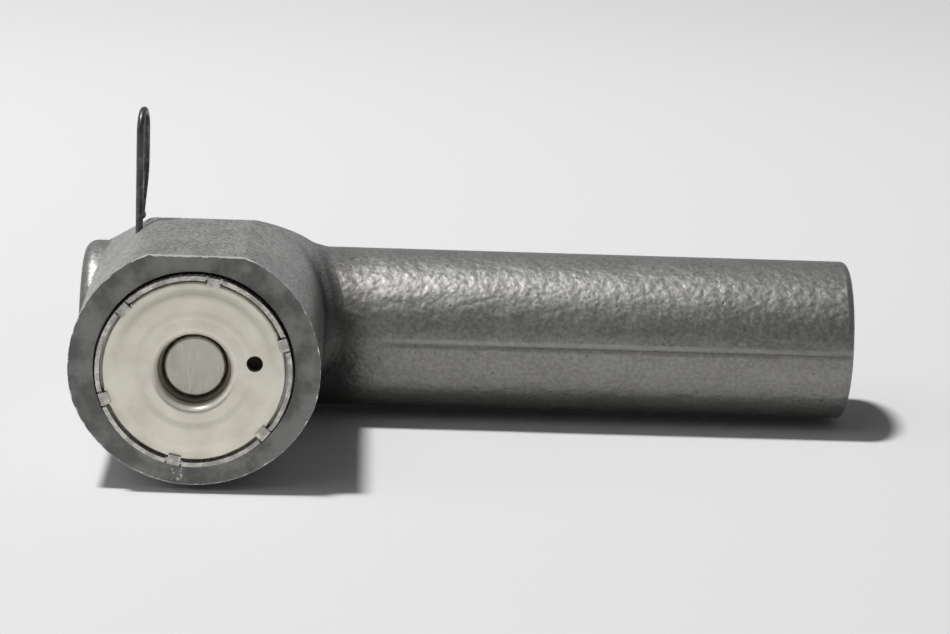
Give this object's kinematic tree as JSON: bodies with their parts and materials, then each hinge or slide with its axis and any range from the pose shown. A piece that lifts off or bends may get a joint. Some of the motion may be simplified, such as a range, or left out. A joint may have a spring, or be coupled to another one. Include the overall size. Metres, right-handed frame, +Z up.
{
  "type": "timing belt tensioner",
  "caption": "Cast iron hydraulic tensioner: short barrel with a capped spring-loaded push rod and a wire lock pin, on a long cross tube for its mounting bolt.",
  "frame": {"origin": "on the mounting tube's axis, straight behind the push rod's axis", "axes": "+X along the mounting tube towards its long end, -Y out of the barrel's open face along the push rod, +Z up as the part lies"},
  "size_m": [0.1328, 0.0674, 0.0565],
  "materials": {
    "casting": "rough as cast, with machined faces and bores",
    "shell_steel": "drawn steel, thinly oxidised",
    "cap_steel": "satin zinc-plated",
    "rod_steel": "ground and hardened",
    "inner_steel": "turned or pressed",
    "spring_steel": "oiled spring wire",
    "seal_rubber": "matte black",
    "bush_bronze": "plain bearing bronze",
    "soft_washer": "soft",
    "ball_chrome": "polished"
  },
  "bodies": {
    "body": {"housing": "casting", "cartridge_shell": "shell_steel", "end_cap": "cap_steel", "seal_case": "inner_steel", "oil_seal": "seal_rubber", "garter_spring": "spring_steel", "rod_guide": "inner_steel", "guide_bush": "bush_bronze", "guide_clip": "spring_steel", "return_spring": "spring_steel", "pressure_cylinder": "inner_steel", "cylinder_o_ring": "seal_rubber", "cylinder_washer": "soft_washer"},
    "rod": {"push_rod": "rod_steel", "rod_clip": "spring_steel", "lock_collar": "inner_steel", "plunger": "inner_steel", "valve_seat": "inner_steel", "ball_cage": "inner_steel", "ball_spring": "spring_steel"},
    "ball": {"check_ball": "ball_chrome"},
    "pin": {"lock_pin": "spring_steel"}
  },
  "joints": [
    {"name": "rod_slide", "type": "slide", "parent": "body", "child": "rod", "axis": [0, -1, 0], "range_m": [0, 0.008], "deforming": ["return_spring"]},
    {"name": "pin_pull", "type": "slide", "parent": "body", "child": "pin", "axis": [0, 0, 1], "range_m": [0, 0.024]},
    {"name": "ball_lift", "type": "slide", "parent": "rod", "child": "ball", "axis": [0, 1, 0], "range_m": [0, 0.0004], "stiffness_N_per_m": 30, "springref_m": -0.001, "deforming": ["ball_spring"]}
  ],
  "couplings": [
    {"joint": "pin_pull", "follows": "rod_slide", "ratio": 3}
  ]
}
